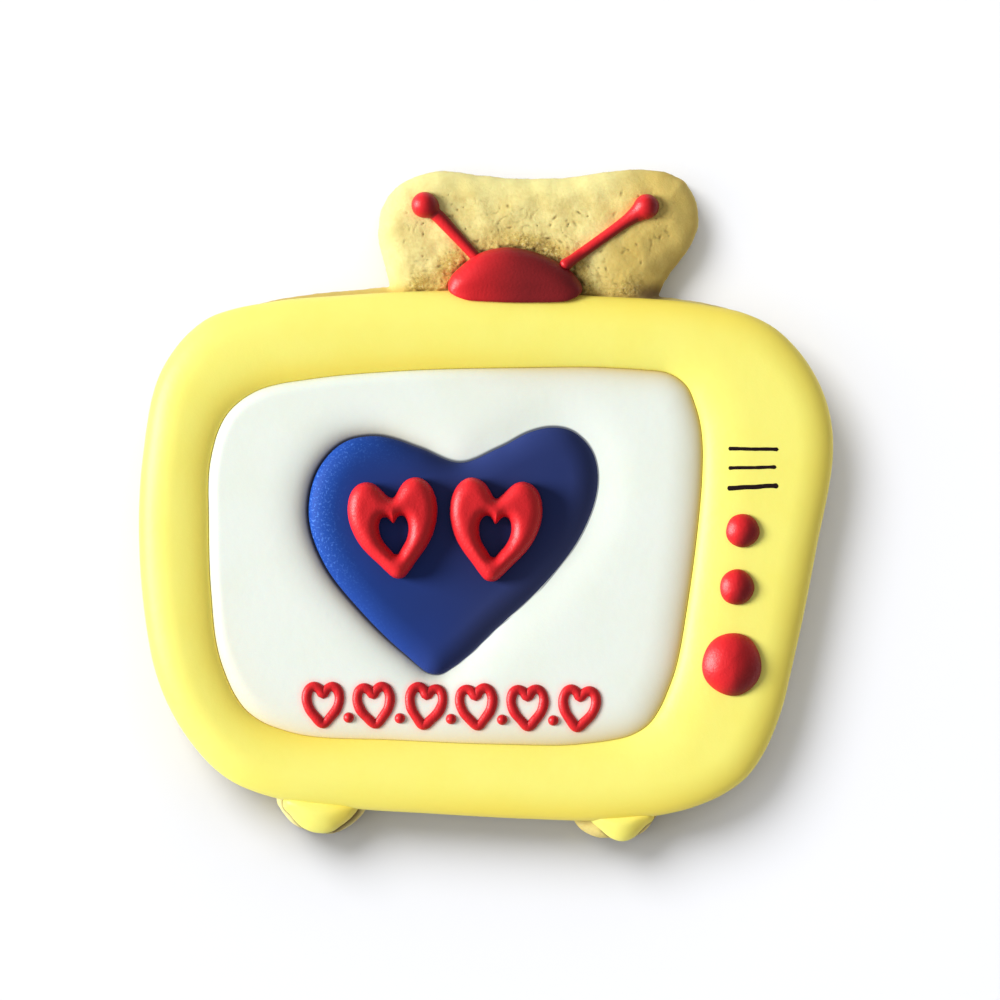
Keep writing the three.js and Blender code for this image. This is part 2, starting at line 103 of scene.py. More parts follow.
# Aerials: the ball's middle and radius, then the rod down to the base, with its widths at both ends, how
# much it widens at the ball (neck) and at the base (bulb), and how far it rises onto the base (lift)
AERIALS = {
    "left": {"ball": (-8.6, 42), "radius": 1.85, "start": (-8.1, 42), "end": (-1.5, 34.8),
             "widths": (1.95, 1.5), "neck": 0, "bulb": 0, "lift": 0},
    "right": {"ball": (22.5, 41.8), "radius": 1.75, "start": (22.1, 41.5), "end": (11.1, 33.6),
              "widths": (1.5, 1.5), "neck": 0.6, "bulb": 0.2, "lift": 0.8},
}

# Speaker lines drawn on the yellow icing: their ends, width and waviness
PEN_LINES = [
    {"ends": ((33.9, 7.88), (40.9, 7.77)), "width": 0.56, "wave": 0.06},
    {"ends": ((33.9, 5.15), (40.6, 5.32)), "width": 0.52, "wave": 0.05},
    {"ends": ((33.75, 2.3), (40.9, 2.72)), "width": 0.72, "wave": 0.12},
]
# Round a stroke: the share of its half width, and the height over the icing
PEN_PROFILE = ((-1, -0.03), (-0.7, 0.05), (0, 0.09), (0.7, 0.05), (1, -0.03), (0, -0.15))

# The picture: what the camera looks at, and how wide its view is there
VIEW_MIDDLE = (1.96, 0.7)
VIEW_WIDTH = 140
VIEW_LEVEL = 7.5
VIEW_DISTANCE = 2500
SENSOR_WIDTH = 36

# The lights: azimuth anticlockwise from +X, elevation, how wide the light looks, and strength
PALE_LIGHT = (171, 37, 26, 1.22)
DEEP_LIGHT = (172, 17, 28, 2.5)
FLOOR_LIGHTS = {"key": (131, 45, 36, 1), "fill": (67, 31, 66, 0.5), "side": (179, 36, 62, 0.36)}
SKY_STRENGTH = 0.35


# Reading the solids

def low(node):
    return np.array(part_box(node)[0]) / MM


def high(node):
    return np.array(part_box(node)[1]) / MM


def triangles_of(node):
    """The node's triangles, as an array of corners."""
    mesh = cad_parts[node].data
    mesh.calc_loop_triangles()
    places = np.array([v.co for v in mesh.vertices], float) / MM
    corners = np.array([t.vertices for t in mesh.loop_triangles])
    return places[corners]


def section(node, height):
    """The short segments, in plan, in which a level plane cuts the node."""
    triangles = triangles_of(node)
    above = triangles[..., 2] > height
    count = above.sum(1)
    cut = (count == 1) | (count == 2)
    triangles, above, count = triangles[cut], above[cut], count[cut]
    lone = np.where(count == 1, above.argmax(1), (~above).argmax(1))
    order = (lone[:, None] + np.arange(3)) % 3
    a, b, c = np.moveaxis(np.take_along_axis(triangles, order[..., None], 1), 1, 0)

    def meet(p, q):
        share = (height - p[:, 2]) / (q[:, 2] - p[:, 2])
        return p[:, :2] + (q - p)[:, :2] * share[:, None]

    return np.stack([meet(a, b), meet(a, c)], 1)


def chained(segments):
    """The points of the closed loop that the segments make, anticlockwise."""
    left = list(range(1, len(segments)))
    loop = list(segments[0])
    while left:
        gaps = np.linalg.norm(segments[left] - loop[-1], axis=2)
        k, end = np.unravel_index(gaps.argmin(), gaps.shape)
        loop.append(segments[left[k]][1 - end])
        left.pop(k)
    loop = np.array(loop[:-1])
    x, y = loop.T
    area = (x * np.roll(y, -1) - y * np.roll(x, -1)).sum()
    return loop if area > 0 else loop[::-1]


def reach(node, middle, angles, nearest=False):
    """How far from the middle each spoke leaves the node's outline, or enters it where it is a ring."""
    triangles = triangles_of(node)[..., :2]
    a = np.concatenate([triangles[:, k] for k in range(3)]) - middle
    b = np.concatenate([triangles[:, (k + 1) % 3] for k in range(3)]) - middle
    along = directions(angles)
    across = np.stack([-along[:, 1], along[:, 0]], 1)
    side_a, side_b = across @ a.T, across @ b.T
    with np.errstate(divide="ignore", invalid="ignore"):
        share = side_a / (side_a - side_b)
        radius = along @ a.T + share * (along @ (b - a).T)
    met = (share >= -1e-5) & (share <= 1 + 1e-5) & (radius > 0)
    if nearest:
        return np.where(met, radius, np.inf).min(1)
    return np.where(met, radius, 0).max(1)


# Outlines

def once_round(count):
    """Evenly spaced angles, once round."""
    return np.arange(count) / count * 2 * np.pi


def directions(angles):
    """Unit vectors in plan at those angles."""
    return np.stack([np.cos(angles), np.sin(angles)], 1)


def evenly(values, count):
    """A closed row of values with a smooth curve through them, at more places."""
    place = np.arange(count) * len(values) / count
    k = np.floor(place).astype(int)
    t = (place - k).reshape((-1,) + (1,) * (values.ndim - 1))
    p0, p1, p2, p3 = (values[(k + step) % len(values)] for step in (-1, 0, 1, 2))
    return 0.5 * (
        2 * p1 + (p2 - p0) * t + (2 * p0 - 5 * p1 + 4 * p2 - p3) * t**2 + (3 * p1 - p0 - 3 * p2 + p3) * t**3
    )


def outline(node, middle, sides, count=SPOKES, nearest=False):
    """A smooth loop through the corners of the node's outline, on evenly turned spokes."""
    radii = evenly(reach(node, middle, once_round(sides) - np.pi, nearest), count)
    return middle + radii[:, None] * directions(once_round(count) - np.pi)


def spaced(loop, count):
    """The closed loop with its points at even distances."""
    closed = np.vstack([loop, loop[:1]])
    run = np.concatenate([[0], np.cumsum(np.linalg.norm(np.diff(closed, axis=0), axis=1))])
    places = np.arange(count) * run[-1] / count
    return np.stack([np.interp(places, run, closed[:, k]) for k in range(loop.shape[1])], 1)


def softened(loop, reach_count):
    """The closed loop with each point moved to the weighted mean of its neighbours."""
    steps = np.arange(-2 * reach_count, 2 * reach_count + 1)
    weights = np.exp(-0.5 * (steps / reach_count) ** 2)
    return sum(w * np.roll(loop, step, 0) for w, step in zip(weights, steps)) / weights.sum()


def normals_of(loop):
    """Unit vectors that point out of an anticlockwise loop."""
    run = np.roll(loop, -1, 0) - np.roll(loop, 1, 0)
    out = np.stack([run[:, 1], -run[:, 0]], 1)
    return out / np.linalg.norm(out, axis=1)[:, None]


def in_parts(work, points):
    """Calls work on a few hundred points at a time, to save memory."""
    parts = np.array_split(points, max(1, len(points) // 500))
    return np.concatenate([work(part) for part in parts])


def nearest_of(points, line):
    """For each point, the number of the line's nearest point."""
    tree = kdtree.KDTree(len(line))
    for k, (x, y) in enumerate(line.tolist()):
        tree.insert((x, y, 0), k)
    tree.balance()
    return np.array([tree.find((x, y, 0))[1] for x, y in points.tolist()])


def distance(points, loop):
    """The distance from each point to the closed loop, on the two sides that meet at its nearest corner."""
    corner = nearest_of(points, loop)
    nearest = np.full(len(points), np.inf)
    for step in (-1, 0):
        start = loop[(corner + step) % len(loop)]
        run = loop[(corner + step + 1) % len(loop)] - start
        gap = points - start
        share = np.clip((gap * run).sum(1) / (run**2).sum(1), 0, 1)
        nearest = np.minimum(nearest, np.linalg.norm(gap - share[:, None] * run, axis=1))
    return nearest


def soft_distance(points, *loops):
    """The distance to the nearest loop, without creases where two stretches are equally near."""
    straight = 1.178  # what the sum comes to, one away from an endless straight line
    sparse = [loop[::3] for loop in loops]  # a third of the points is enough

    def work(part):
        total = 0
        for loop in sparse:
            steps = np.linalg.norm(np.roll(loop, -1, 0) - loop, axis=1)
            gap = ((part[:, None] - loop) ** 2).sum(-1)
            total = total + (steps / np.maximum(gap, 1e-3) ** 3).sum(1)
        return (straight / total) ** 0.2

    exact = np.min([distance(points, loop) for loop in sparse], axis=0)
    share = smoothstep((exact - 0.4) / 0.8)
    return exact * (1 - share) + in_parts(work, points) * share


def inside(points, loop):
    """True for each point inside the closed loop."""
    a, b = loop, np.roll(loop, -1, 0)

    def work(part):
        x, y = part[:, :1], part[:, 1:2]
        crosses = (a[:, 1] > y) != (b[:, 1] > y)
        with np.errstate(divide="ignore", invalid="ignore"):
            where = a[:, 0] + (b - a)[:, 0] * (y - a[:, 1]) / (b - a)[:, 1]
        return (crosses & (x < where)).sum(1) % 2 == 1

    return in_parts(work, points)


def smoothstep(t):
    t = np.clip(t, 0, 1)
    return t * t * (3 - 2 * t)


def round_over(t):
    """0 at an edge, rising like a quarter circle to 1."""
    return np.sqrt(1 - (1 - np.clip(t, 0, 1)) ** 2)


def cap(t):
    """0 at an edge, rising like the side of a ball that is cut below its middle, to 1."""
    steep = 0.93
    foot = math.sqrt(1 - steep**2)
    return (np.sqrt(1 - (steep * (1 - np.clip(t, 0, 1))) ** 2) - foot) / (1 - foot)


def rough(points, size, seed):
    """Smooth random heights, about -1 to 1, with features of that size."""
    shift = Vector((7.31 * seed, 3.17 * seed, 5.53 * seed))
    spread = np.zeros((len(points), 3))
    spread[:, : points.shape[1]] = points / size
    return np.array([noise.noise(Vector(p) + shift) for p in spread])


# Meshes

# The pale and the deep colours each have a key light of their own. The blue heart casts no shadow on the
# white icing, as it lies in a hollow of it.
pale = bpy.data.collections.new("pale")
deep = bpy.data.collections.new("deep")
shading = bpy.data.collections.new("shading")


def add_piece(name, vertices, faces, look, slot, replaced=(), masks=None):
    """Makes a mesh piece of the cookie. Masks are named numbers, one for each vertex, for its material."""
    mesh = bpy.data.meshes.new(name)
    mesh.from_pydata((np.asarray(vertices) * MM).tolist(), [], [list(map(int, f)) for f in faces])
    mesh.validate()
    mesh.shade_smooth()
    for mask, values in (masks or {}).items():
        attribute = mesh.attributes.new(mask, "FLOAT", "POINT")
        attribute.data.foreach_set("value", np.asarray(values, np.float32))
    mesh.materials.append(look)
    piece = bpy.data.objects.new(name, mesh)
    bpy.context.scene.collection.objects.link(piece)
    (deep if slot in ("red_icing", "blue_icing") else pale).objects.link(piece)
    if slot != "blue_icing":
        shading.objects.link(piece)
    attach(piece, "root")
    if replaced:
        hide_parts(*replaced)
    return piece


def ring_faces(rings, count, closed):
    """Faces that join rings of points. A loop of rings joins the last to the first."""
    faces = []
    for k in range(rings if closed else rings - 1):
        lower, upper = k * count, (k + 1) % rings * count
        i = np.arange(count)
        after = (i + 1) % count
        faces += np.stack([lower + i, lower + after, upper + after, upper + i], 1).tolist()
    return faces


def stacked(rings, ends=None):
    """Vertices and faces of a closed solid. The rings run up its outside, and the ends close a stack."""
    rings = np.asarray(rings, float)
    levels, count, _ = rings.shape
    vertices = rings.reshape(-1, 3)
    faces = ring_faces(levels, count, ends is None)
    if ends is not None:
        vertices = np.vstack([vertices, ends])
        top = (levels - 1) * count
        for i in range(count):
            after = (i + 1) % count
            faces.append([after, i, len(vertices) - 2])
            faces.append([top + i, top + after, len(vertices) - 1])
    return vertices, faces


def at(points, z):
    """The plan points with heights, each its own or one for all."""
    return np.column_stack([points, np.broadcast_to(z, len(points))])


def drop_of_icing(edge, middle, floor, belly, top, rings=50, tuck=0.25):
    """A drop that stands on floor, is widest one belly above it, and has the heights of top over it."""
    inward = middle - edge
    length = np.linalg.norm(inward, axis=1)[:, None]
    stack = [
        at(edge + inward * tuck / length, floor),
        at(edge + inward * 0.3 * tuck / length, floor + 0.4 * belly),
    ]
    shares = 1 - np.cos(np.arange(rings) / rings * np.pi / 2)
    places = [edge + inward * share for share in shares]
    heights = top(np.vstack(places + [middle[None]]))
    stack += [at(p, heights[k * len(edge) : (k + 1) * len(edge)]) for k, p in enumerate(places)]
    return stacked(stack, [[*middle, floor], [*middle, heights[-1]]])


def band_of_icing(outer, inner, floor, belly, top, rings=48, tuck=0.3):
    """A band between two loops, with the heights of top over it."""
    across = inner - outer
    length = np.linalg.norm(across, axis=1)[:, None]
    stack = [
        at(inner, floor),
        at(outer + across * tuck / length, floor),
        at(outer + across * 0.3 * tuck / length, floor + 0.4 * belly),
    ]
    shares = 0.5 - 0.5 * np.cos(np.arange(rings + 1) / rings * np.pi)
    places = [outer + across * share for share in shares]
    heights = top(np.vstack(places))
    stack += [at(p, heights[k * len(outer) : (k + 1) * len(outer)]) for k, p in enumerate(places)]
    return stacked(stack)


# Outlines and levels of the solids

BISCUIT_TOP = low("yellow_icing")[2]
YELLOW_CREST = high("yellow_icing")[2]
HEART_FLOOR = low("blue_heart")[2]
HEART_TOP = high("blue_heart")[2]
HEART_DIP = BISCUIT_TOP + WHITE_RISE - HEART_FLOOR

cabinet_loop = outline("yellow_icing", SCREEN_MIDDLE, SCREEN_SIDES)
screen_loop = outline("yellow_icing", SCREEN_MIDDLE, SCREEN_SIDES, nearest=True)
heart_loop = outline("blue_heart", SCREEN_MIDDLE, HEART_SIDES)
base_loop = outline("aerial_base", BASE_MIDDLE, BASE_SIDES, 480)


# Materials

def linear(red, green, blue):
    """A colour as a screen shows it, 0 to 255, in the numbers that a shader takes."""
    shares = np.array([red, green, blue]) / 255
    return (*np.where(shares <= 0.04045, shares / 12.92, ((shares + 0.055) / 1.055) ** 2.4), 1)


class Look:
    """A material, with short calls for adding and joining its nodes."""

    def __init__(self, name, colour, roughness, **settings):
        self.material = bpy.data.materials.new(name)
        self.material.use_nodes = True
        self.tree = self.material.node_tree
        self.shader = self.tree.nodes["Principled BSDF"]
        self.shader.inputs["Base Color"].default_value = linear(*colour)
        self.shader.inputs["Roughness"].default_value = roughness
        for socket, value in settings.items():
            self.shader.inputs[socket.replace("_", " ")].default_value = value
        self.place = self.add("ShaderNodeTexCoord").outputs["Object"]

    def add(self, kind, **settings):
        node = self.tree.nodes.new(kind)
        for key, value in settings.items():
            setattr(node, key, value)
        return node

    def put(self, socket, value):
        if isinstance(value, bpy.types.NodeSocket):
            self.tree.links.new(value, socket)
        else:
            socket.default_value = value

    def noise(self, size, detail=2.0, roughness=0.5, distortion=0.0):
        """Soft cloudy values from 0 to 1, with clouds of that size in millimetres."""
        node = self.add("ShaderNodeTexNoise")
        self.put(node.inputs["Vector"], self.place)
        self.put(node.inputs["Scale"], 1 / (size * MM))
        self.put(node.inputs["Detail"], detail)
        self.put(node.inputs["Roughness"], roughness)
        self.put(node.inputs["Distortion"], distortion)
        return node.outputs["Fac"]

    def mask(self, name):
        return self.add("ShaderNodeAttribute", attribute_name=name).outputs["Fac"]

    def between(self, value, start, end, low=0.0, high=1.0):
        """Rises smoothly from low to high as the value goes from start to end."""
        node = self.add("ShaderNodeMapRange", interpolation_type="SMOOTHSTEP")
        for socket, number in zip(node.inputs, (value, start, end, low, high)):
            self.put(socket, number)
        return node.outputs["Result"]

    def math(self, operation, a, b):
        node = self.add("ShaderNodeMath", operation=operation)
        self.put(node.inputs[0], a)
        self.put(node.inputs[1], b)
        return node.outputs[0]

    def blend(self, share, first, second, kind="MIX"):
        """Mixes two colours, each a socket or a screen colour."""
        node = self.add("ShaderNodeMix", data_type="RGBA", blend_type=kind)
        self.put(node.inputs["Factor"], share)
        for socket, colour in zip((node.inputs[6], node.inputs[7]), (first, second)):
            self.put(socket, colour if isinstance(colour, bpy.types.NodeSocket) else linear(*colour))
        return node.outputs[2]

    def colour(self, socket):
        self.put(self.shader.inputs["Base Color"], socket)

    def bump(self, height, depth, strength=1.0):
        """Relief too fine for the mesh: a height from 0 to 1 that stands for that depth."""
        node = self.add("ShaderNodeBump")
        self.put(node.inputs["Height"], height)
        self.put(node.inputs["Distance"], depth * MM)
        self.put(node.inputs["Strength"], strength)
        self.put(self.shader.inputs["Normal"], node.outputs["Normal"])


def icing_look(name, colour, shade, roughness, subsurface=0.12, **settings):
    """Dried royal icing: satin, a little translucent, with faint clouds of a second shade."""
    look = Look(
        name,
        colour,
        roughness,
        Subsurface_Weight=subsurface,
        Subsurface_Scale=1.0 * MM,
        Subsurface_Radius=(1.0, 0.7, 0.5),
        IOR=1.45,
        **settings,
    )
    clouds = look.between(look.noise(9, detail=3), 0.35, 0.75)
    look.colour(look.blend(clouds, colour, shade))
    return look


def dough_look():
    look = Look("baked_dough", (240, 224, 150), 0.8, Subsurface_Weight=0.1, Subsurface_Scale=1.2 * MM)
    clouds = look.between(look.noise(4, detail=3, roughness=0.6), 0.35, 0.7)
    grain = look.between(look.noise(0.5, detail=3, roughness=0.7), 0.4, 0.75)
    fine = look.noise(0.42, detail=5, roughness=0.75, distortion=0.6)
    base = look.blend(clouds, (244, 230, 152), (226, 206, 126))
    base = look.blend(look.math("MULTIPLY", grain, 0.35), base, (206, 182, 102))
    # Painted light: paler along the lit left and top rim of the lobe and on the left foot
    base = look.blend(look.mask("rim"), base, (250, 240, 160))
    # Partly painted shade: a darker gold on the lobe's right side and beside the icing
    base = look.blend(look.mask("golden_and_shade"), base, (214, 181, 82))
    # Painted light and shade on the fine relief: lighter where it stands up, darker where it sinks
    crumbs = look.math("MULTIPLY", look.mask("crumb"), look.between(fine, 0.52, 0.66))
    base = look.blend(crumbs, base, (250, 238, 178))
    gaps = look.math("MULTIPLY", look.mask("crumb"), look.between(fine, 0.49, 0.38))
    base = look.blend(gaps, base, (150, 124, 58))
    # Painted shade in the pits, cracks and the crevice along the icing
    base = look.blend(look.mask("pit_shade"), base, (132, 106, 52))
    # Painted shade: dark brown in the corner and on the side of the lobe, in the creases round the feet and
    # low on the side wall
    base = look.blend(look.mask("biscuit_shade"), base, (96, 68, 34))
    look.colour(base)
    depth = look.between(look.mask("crumb"), 0.0, 1.0, 0.25, 1.0)
    look.bump(look.math("MULTIPLY", fine, depth), 0.32)
    return look.material


def yellow_look():
    look = icing_look("yellow_icing", (252, 244, 123), (251, 241, 116), 0.42)
    base = look.shader.inputs["Base Color"].links[0].from_socket
    # Painted shade: a deeper, more orange yellow on the slopes that face away from the light
    look.colour(look.blend(look.mask("yellow_shade"), base, (255, 228, 86)))
    look.bump(look.noise(1.1, detail=4, roughness=0.55), 0.03)
    return look.material


def white_look():
    look = icing_look("white_icing", (237, 244, 235), (235, 242, 230), 0.42)
    base = look.shader.inputs["Base Color"].links[0].from_socket
    base = look.blend(look.math("MULTIPLY", look.mask("bleed"), 0.4), base, (250, 196, 190))
    base = look.blend(look.mask("creamed"), base, (250, 222, 162))
    # Yellow-brown along the screen's edge: partly a stain from the yellow icing, partly painted shade on the
    # right side
    base = look.blend(look.mask("stain_and_shade"), base, (210, 180, 102))
    # Painted shade in the groove on the blue heart's left
    base = look.blend(look.mask("groove_shade"), base, (205, 178, 124))
    # Partly blue dye bled into the white, partly painted shade where the white meets the heart
    base = look.blend(look.mask("blue_bleed_and_shade"), base, (52, 58, 84))
    look.colour(base)
    look.bump(look.noise(1.3, detail=4, roughness=0.55), 0.03)
    return look.material


def blue_look():
    look = icing_look("blue_icing", (30, 56, 128), (30, 54, 120), 0.55, 0.03, Specular_IOR_Level=0.1)
    base = look.shader.inputs["Base Color"].links[0].from_socket
    # Painted shade: a darker blue towards the heart's right side
    base = look.blend(look.mask("blue_right_shade"), base, (39, 52, 104))
    # Painted light: a greyer, lighter blue in the shade along the lower right edge
    base = look.blend(look.mask("blue_edge_lift"), base, (60, 68, 112))
    # Partly painted highlight: a brighter blue band with glints along the lit left edge, over a fine crust
    # bump
    sparks = look.between(look.noise(0.3, detail=3, roughness=0.6), 0.52, 0.68)
    base = look.blend(look.mask("crust_and_highlight"), base, (22, 65, 146))
    sparks = look.math("MULTIPLY", sparks, look.math("POWER", look.mask("crust_and_highlight"), 2.0))
    look.colour(look.blend(sparks, base, (70, 114, 196)))
    look.bump(sparks, 0.03)
    return look.material


def red_look():
    look = icing_look("red_icing", (207, 33, 39), (195, 28, 35), 0.38, 0.08, Specular_IOR_Level=0.3)
    base = look.shader.inputs["Base Color"].links[0].from_socket
    # Painted shade: a darker red on the sides of the knobs, aerial base and aerials that face away from the
    # light
    look.colour(look.blend(look.mask("red_shade"), base, (116, 24, 28)))
    look.bump(look.noise(0.4, detail=4, roughness=0.65), 0.06)
    return look.material


def pen_look():
    look = Look("food_pen", (22, 10, 14), 0.7, Specular_IOR_Level=0.1)
    look.colour(look.blend(look.noise(0.6, detail=2), (16, 6, 10), (40, 22, 22)))
    return look.material


# The biscuit

RIM_POINTS = 1500
# Up the side wall: the share of its height, and how far it is tucked in there
WALL_STEPS = [
    (0, 0.5), (0.012, 0.32), (0.04, 0.16), (0.09, 0.04), (0.2, 0),
    (0.35, 0), (0.5, 0), (0.65, 0), (0.78, 0), (0.9, 0),
]
CABINET_BISCUIT_SHOULDER = 1.2
LOBE_SHOULDER = 3.2
LOBE_SUNK_SHOULDER = 7.5  # the lobe's right side slopes more gently
SHOULDER_FALL = 0.8  # how far a shoulder falls, as a share of its width
LOBE_START = 27.5  # the bare lobe begins above this line
LOBE_GRID = {"step": 0.16, "corner": (-15.5, 27.6), "far_corner": (30.5, 47.5)}
COVERED_GRID = {"step": 1.8, "corner": (-49, -48), "far_corner": (49, 27.4)}
LOBE_NOTCH = (23, 29.4)  # the corner between the lobe and the cabinet, painted in shade
LOBE_NOTCH_SIZE = (3, 2)
LOBE_SHADED_SIDE = (24.5, 33.5)  # the middle of the painted shade on the lobe's side above that corner
LOBE_SHADED_SIDE_SIZE = 5
PIT_DEPTH = 0.28
CREVICE_DEPTH = 0.3  # of the ragged line where the bare lobe meets the icing


def lumps(points):
    """Lumps in the baked surface, a few millimetres across, as the solid has them."""
    waves = [
        (1.15, 0.35, 0.6), (-0.5, 1.25, 2.1), (0.9, -1.05, 4),
        (1.9, 0.8, 1.3), (-1.3, 1.7, 5.2), (0.4, 2.3, 3.3),
    ]
    x, y = points.T
    return sum(np.sin(u * x + v * y + phase) / (1.4 + 0.35 * k) for k, (u, v, phase) in enumerate(waves)) / 3


def icing_gap(points):
    """How far each point of the bare lobe is from the icing."""
    return np.minimum(distance(points, cabinet_loop), distance(points, base_loop))


def pits_over(points, count, seed):
    """How deep each point lies in one of the small holes of the bare lobe, most of them near the icing."""
    draw = np.random.default_rng(seed)
    middles = np.column_stack([draw.uniform(-13, 28, count), draw.uniform(28, 45, count)])
    density = 0.14 + 0.5 * np.exp(-((icing_gap(middles) / 2.5) ** 2))
    middles = middles[draw.random(count) < density]
    count = len(middles)
    radii = draw.uniform(0.07, 0.17, count)
    turns = draw.uniform(0, np.pi, count)
    long, short = draw.uniform(1.8, 3.2, count), draw.uniform(1, 1.5, count)
    stretch = np.where(draw.random(count) < 0.5, long, short)
    depths = draw.uniform(0.25, 1, count)

    def work(part):
        gap = part[:, None] - middles
        along = gap[..., 0] * np.cos(turns) + gap[..., 1] * np.sin(turns)
        across = gap[..., 1] * np.cos(turns) - gap[..., 0] * np.sin(turns)
        share = (along / (radii * stretch)) ** 2 + (across / radii) ** 2
        return (np.exp(-share) * depths).max(1)

    return in_parts(work, points)


def rolled_height(points, depth, on_lobe, sunk_side, off_cabinet):
    """The height of the biscuit's top with its shoulder and lumps, before the fine roughness."""
    width = CABINET_BISCUIT_SHOULDER + (LOBE_SHOULDER - CABINET_BISCUIT_SHOULDER) * on_lobe
    drop = SHOULDER_FALL * width
    shoulder = width + (LOBE_SUNK_SHOULDER - LOBE_SHOULDER) * sunk_side
    foot = smoothstep(off_cabinet / 0.6) * (points[:, 1] < 0)
    bare = smoothstep(off_cabinet / 3) * on_lobe
    level = BISCUIT_TOP - 0.3 * foot - 0.1 * on_lobe + bare * (0.5 + 0.22 * lumps(points))
    return level - drop + drop * round_over(depth / shoulder)


def crumbliness(points, calm, patches, crumb):
    """Fine heights of the baked surface, rougher near the icing."""
    return (
        (0.2 + 0.8 * calm) * 0.2 * rough(points, 4.2, 2)
        + (0.15 + 0.85 * calm) * 0.06 * rough(points, 1.7, 10)
        + (0.1 + 0.5 * calm * patches + 2.4 * crumb) * 0.08 * rough(points, 0.9, 3)
        + (0.1 + 0.5 * calm + 2.6 * crumb) * 0.05 * rough(points, 0.5, 4)
    )


def golden_and_shade_parts(points, on_lobe, crumb, off_cabinet):
    """How golden and dark each point is: painted shade on the lobe's right side, a golden band along the
    icing that is partly painted shade beside it, and a little on the right foot.
    """
    x, y = points.T
    right_side = 0.72 * smoothstep((x - 0.35 * (y - 38) - 13) / 9)
    by_icing = 0.8 * smoothstep(1.4 * crumb)
    by_cabinet = 0.9 * np.exp(-((off_cabinet / 1.2) ** 2)) * (x < 0) * (y > 20)
    right_foot = (y < 0) & (x > 0)
    return np.max([on_lobe * right_side, by_icing, by_cabinet, 0.3 * right_foot], axis=0)


def biscuit_shade_parts(points):
    """How much painted shade each point gets: in the corner and on the side of the lobe, and round the icing
    of the feet.
    """
    notch = np.linalg.norm((points - LOBE_NOTCH) / LOBE_NOTCH_SIZE, axis=1)
    side = np.linalg.norm((points - LOBE_SHADED_SIDE) / LOBE_SHADED_SIDE_SIZE, axis=1)
    return np.max([0.95 * np.exp(-(notch**2)), 0.25 * np.exp(-(side**2)), foot_crease(points)], axis=0)


def biscuit_surface(points, depth):
    """The height of the biscuit's top and its masks, from the place and the depth inside the rim."""
    on_lobe = smoothstep((points[:, 1] - LOBE_START) / 3)
    sunk_side = smoothstep((points[:, 0] - 16) / 8) * on_lobe
    left_foot = (points[:, 1] < 0) & (points[:, 0] < -22)
    off_cabinet = np.where(inside(points, cabinet_loop), 0, distance(points, cabinet_loop))
    shown = smoothstep(off_cabinet / 0.4)
    calm = smoothstep((depth - 1.5) / 3)
    patches = smoothstep(0.5 + 1.6 * rough(points, 5, 12))
    icing = icing_gap(points)
    crumb = np.exp(-((icing / 2.6) ** 2)) * calm * (0.45 + 0.55 * patches)
    cracks = np.exp(-((rough(points, 1.9, 13) / 0.04) ** 2)) * smoothstep(2.4 * rough(points, 2.6, 14) - 0.5)
    pits = np.maximum(pits_over(points, 1000, 5), 0.4 * cracks) * shown * calm
    ragged = smoothstep(0.75 + 1.8 * rough(points, 1.1, 15))
    crevice = np.exp(-((icing / 0.3) ** 2)) * ragged * on_lobe * calm
    masks = {
        # painted shade in the pits, cracks and the crevice along the icing
        "pit_shade": np.clip(1.1 * pits + 0.9 * crevice, 0, 1),
        # painted light on the lit rim of the lobe and on the left foot
        "rim": 0.7 * on_lobe * (1 - smoothstep(depth / 4.2)) * (1 - sunk_side) + 0.8 * left_foot,
        "crumb": crumb * shown,
        "golden_and_shade": golden_and_shade_parts(points, on_lobe, crumb, off_cabinet),
        "biscuit_shade": biscuit_shade_parts(points),
    }
    height = rolled_height(points, depth, on_lobe, sunk_side, off_cabinet)
    height += shown * crumbliness(points, calm, patches, crumb)
    return height - PIT_DEPTH * pits - CREVICE_DEPTH * crevice, masks


def foot_crease(points):
    """How much painted shade each point gets in the crease round the icing of a foot."""
    gap = np.min([distance(points, foot_edge(side)) for side in FOOT_MIDDLES], axis=0)
    right_of_left = (points[:, 0] > -21.5) & (points[:, 0] < -10)
    return np.exp(-((gap / np.where(right_of_left, 0.5, 0.2)) ** 2)) * np.where(right_of_left, 0.9, 0.75)


def filled(rim, points):
    """Triangles that fill a closed rim with the points inside it, as numbers into rim then points."""
    both = [Vector(p) for p in np.vstack([rim, points])]
    sides = [(k, (k + 1) % len(rim)) for k in range(len(rim))]
    _, _, faces, origins, _, _ = geometry.delaunay_2d_cdt(both, sides, [], 1, 1e-6)
    return [[origins[v][0] for v in face] for face in faces]


def grid_points(step, corner, far_corner):
    """Points of a square grid between two corners."""
    xs, ys = (np.arange(start, end, step) for start, end in zip(corner, far_corner))
    return np.stack(np.meshgrid(xs, ys), -1).reshape(-1, 2)


def well_inside(points, loop, margin):
    """The points that lie inside the loop by more than the margin."""
    points = points[inside(points, loop)]
    return points[distance(points, loop) > margin]


def biscuit_points(rim, draw):
    """Points on the biscuit's top: close where it is bare, and far apart under the icing."""
    out = normals_of(rim)
    rows = [rim - out * d for d in (0.03, 0.1, 0.22, 0.4, 0.62, 0.9)]

    def grid(step, corner, far_corner):
        places = grid_points(step, corner, far_corner)
        return places + draw.uniform(-0.25, 0.25, places.shape) * step

    fine, coarse = grid(**LOBE_GRID), grid(**COVERED_GRID)
    rows = np.vstack(rows)
    return np.vstack([rows[inside(rows, rim)], well_inside(fine, rim, 1), well_inside(coarse, rim, 1.6)])


def wall_rings(rim, out, rim_height):
    """The rings of the side wall, from the underside up to just below the rim."""
    rings = []
    for share, tuck in WALL_STEPS:
        z = share * rim_height
        place = at(rim, z)
        crumb = 0.09 * rough(place, 1.2, 8) + 0.06 * rough(place, 0.5, 9)
        crumb *= np.clip(4 * share * (1.6 - share), 0, 1)
        rings.append(at(rim + out * (crumb - tuck)[:, None], z))
    return rings


